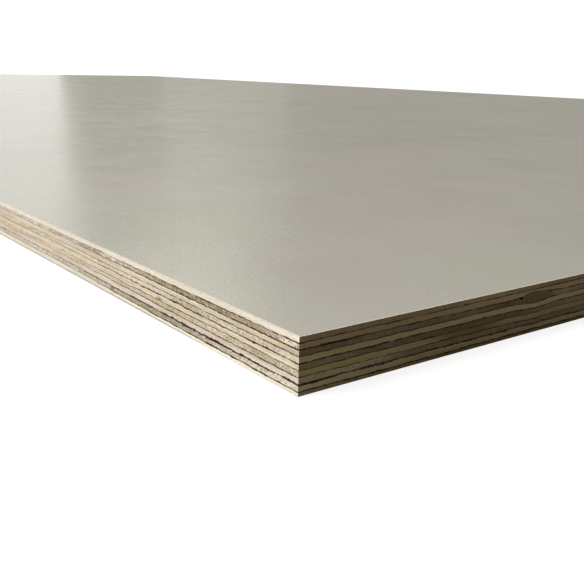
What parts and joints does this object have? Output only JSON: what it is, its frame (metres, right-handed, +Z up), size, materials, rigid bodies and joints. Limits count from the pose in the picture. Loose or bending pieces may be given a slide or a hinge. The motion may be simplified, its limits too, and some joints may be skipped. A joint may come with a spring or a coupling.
{
  "type": "plywood sheet",
  "caption": "Flat film-faced birch plywood sheet with cross-laid veneers, dark glue lines on its raw square edges, and light grey film on both faces; used for formwork and floors.",
  "frame": {"origin": "middle of the sheet's underside", "axes": "+X along the face grain and the sheet's length, +Y across the sheet, +Z up through its thickness"},
  "size_m": [2.5, 1.25, 0.012],
  "materials": {
    "film": "satin resin film, light warm grey",
    "face_veneer": "sanded birch, sawn edge",
    "core_veneer": "peeled birch, sawn edge",
    "glue_line": "cured phenolic glue, dark brown"
  },
  "bodies": {
    "root": {"face_film_top": "film", "face_veneer_1": "face_veneer", "glue_line_1": "glue_line", "cross_veneer_2": "core_veneer", "glue_line_2": "glue_line", "long_veneer_3_front": "core_veneer", "long_veneer_3_back": "core_veneer", "glue_line_3": "glue_line", "cross_veneer_4": "core_veneer", "glue_line_4": "glue_line", "long_veneer_5": "core_veneer", "glue_line_5": "glue_line", "cross_veneer_6": "core_veneer", "glue_line_6": "glue_line", "long_veneer_7": "core_veneer", "glue_line_7": "glue_line", "cross_veneer_8_end": "core_veneer", "cross_veneer_8_main": "core_veneer", "glue_line_8": "glue_line", "face_veneer_9": "face_veneer", "face_film_bottom": "film"}
  },
  "joints": []
}
